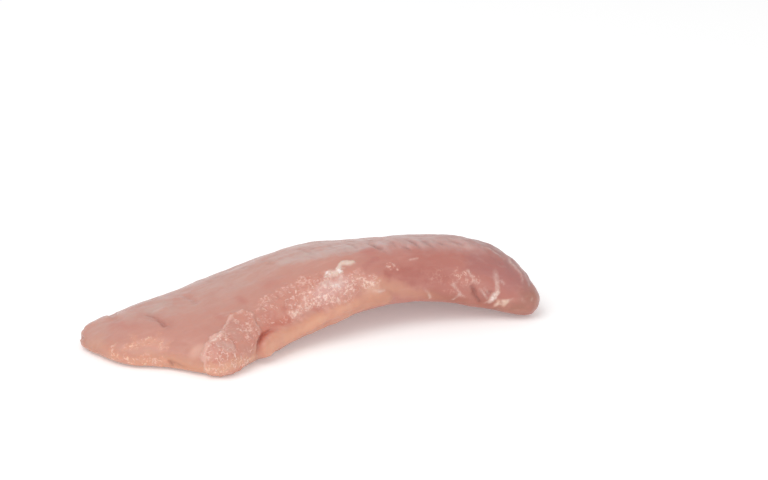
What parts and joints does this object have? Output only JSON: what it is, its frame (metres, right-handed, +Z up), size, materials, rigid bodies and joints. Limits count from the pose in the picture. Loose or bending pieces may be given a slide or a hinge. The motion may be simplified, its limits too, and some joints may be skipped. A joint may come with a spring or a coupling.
{
  "type": "raw pork chop",
  "caption": "Raw boneless pork chop, a tapering slab of lean meat with a thin lobed end, a thick round end and a front edge that arches off the table.",
  "frame": {"origin": "bottom centre of the chop's box, on the table it rests on", "axes": "+X along the chop from its thin end to its thick end, -Y towards its front edge, +Z up"},
  "size_m": [0.178, 0.0846, 0.0299],
  "materials": {
    "meat": "moist satin"
  },
  "bodies": {
    "root": {"chop": "meat"}
  },
  "joints": []
}
